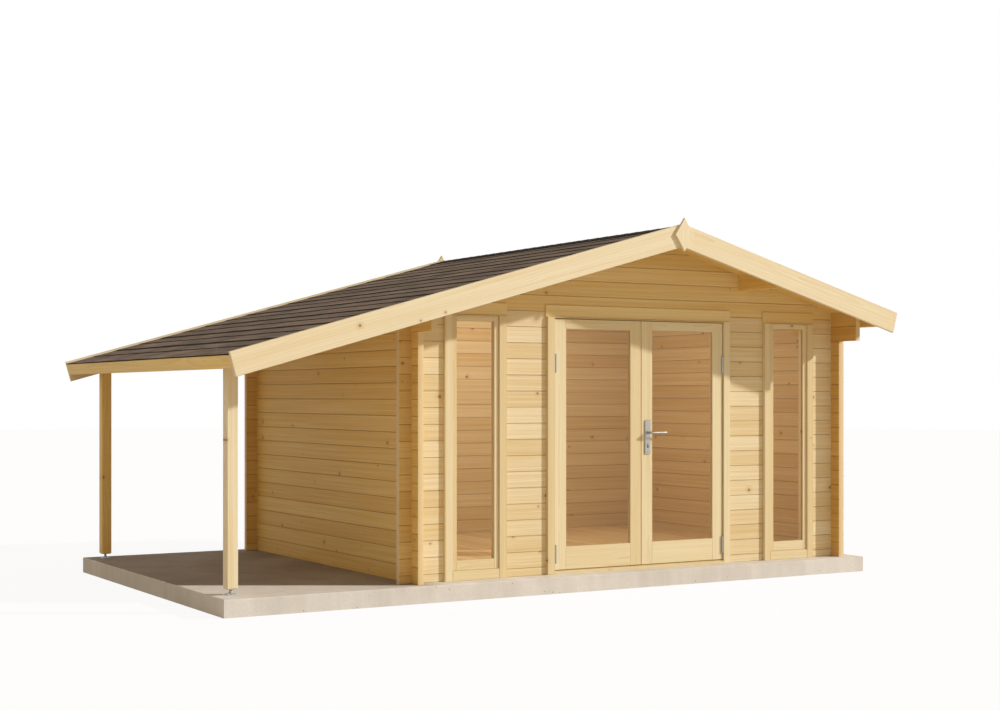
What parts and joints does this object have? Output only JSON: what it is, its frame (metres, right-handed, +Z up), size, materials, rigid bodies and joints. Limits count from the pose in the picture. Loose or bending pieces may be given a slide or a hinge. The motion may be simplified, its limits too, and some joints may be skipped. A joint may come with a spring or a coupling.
{
  "type": "garden shed",
  "caption": "Log-built garden shed with a glazed double door, tall side windows, a low gable roof and an open canopy on posts along one side, on a concrete slab.",
  "frame": {"origin": "centre of the foundation slab's underside", "axes": "+X along the front to the right, seen from the front; +Y from the front to the back; +Z up"},
  "size_m": [5.778, 3.8236, 2.8003],
  "materials": {
    "concrete": "trowelled pale concrete",
    "spruce_logs": "planed spruce logs with small knots",
    "spruce_beams": "planed spruce",
    "spruce_trim": "planed spruce boards",
    "joinery": "sanded spruce joinery",
    "roof_boards": "planed spruce boards",
    "floor_timber": "planed spruce boards",
    "bitumen_shingles": "mineral granules on bitumen",
    "galvanised_steel": "galvanised",
    "satin_steel": "satin",
    "glass": "clear"
  },
  "bodies": {
    "cabin": {"foundation_slab": "concrete", "floor_joists": "floor_timber", "floor_boards": "floor_timber", "left_wall": "spruce_logs", "right_wall": "spruce_logs", "back_wall": "spruce_logs", "front_wall_left_end": "spruce_logs", "front_wall_left_pier": "spruce_logs", "front_wall_right_pier": "spruce_logs", "front_wall_right_end": "spruce_logs", "front_gable": "spruce_logs", "ridge_purlin": "spruce_beams", "middle_purlins": "spruce_beams", "canopy_purlin": "spruce_beams", "front_post": "spruce_beams", "back_post": "spruce_beams", "post_feet": "galvanised_steel", "left_roof_boards": "roof_boards", "right_roof_boards": "roof_boards", "left_shingles": "bitumen_shingles", "right_shingles": "bitumen_shingles", "ridge_cap": "bitumen_shingles", "front_verge_boards": "spruce_trim", "back_verge_boards": "spruce_trim", "left_eave_fascia": "spruce_trim", "right_eave_fascia": "spruce_trim", "finials": "spruce_trim", "door_frame": "joinery", "door_sill": "joinery", "header_boards": "spruce_trim", "frame_hinges": "satin_steel", "left_window_frame": "joinery", "left_window_sash": "joinery", "left_window_glass": "glass", "right_window_frame": "joinery", "right_window_sash": "joinery", "right_window_glass": "glass"},
    "left_leaf": {"left_door_leaf": "joinery", "left_door_glass": "glass", "left_leaf_hinges": "satin_steel"},
    "right_leaf": {"right_door_leaf": "joinery", "right_door_glass": "glass", "right_leaf_hinges": "satin_steel", "handle_plates": "satin_steel", "lock_cylinder": "satin_steel"},
    "lever": {"door_lever": "satin_steel"}
  },
  "joints": [
    {"name": "left_leaf_swing", "type": "hinge", "parent": "cabin", "child": "left_leaf", "pos_m": [-0.126, -1.459, 1.023], "axis": [0, 0, -1], "range_deg": [0, 100]},
    {"name": "right_leaf_swing", "type": "hinge", "parent": "cabin", "child": "right_leaf", "pos_m": [1.464, -1.459, 1.023], "axis": [0, 0, 1], "range_deg": [0, 100]},
    {"name": "lever_turn", "type": "hinge", "parent": "right_leaf", "child": "lever", "pos_m": [0.7265, -1.433, 1.181], "axis": [0, 1, 0], "range_deg": [0, 40], "stiffness_Nm_per_rad": 2, "springref_deg": -22.92}
  ]
}
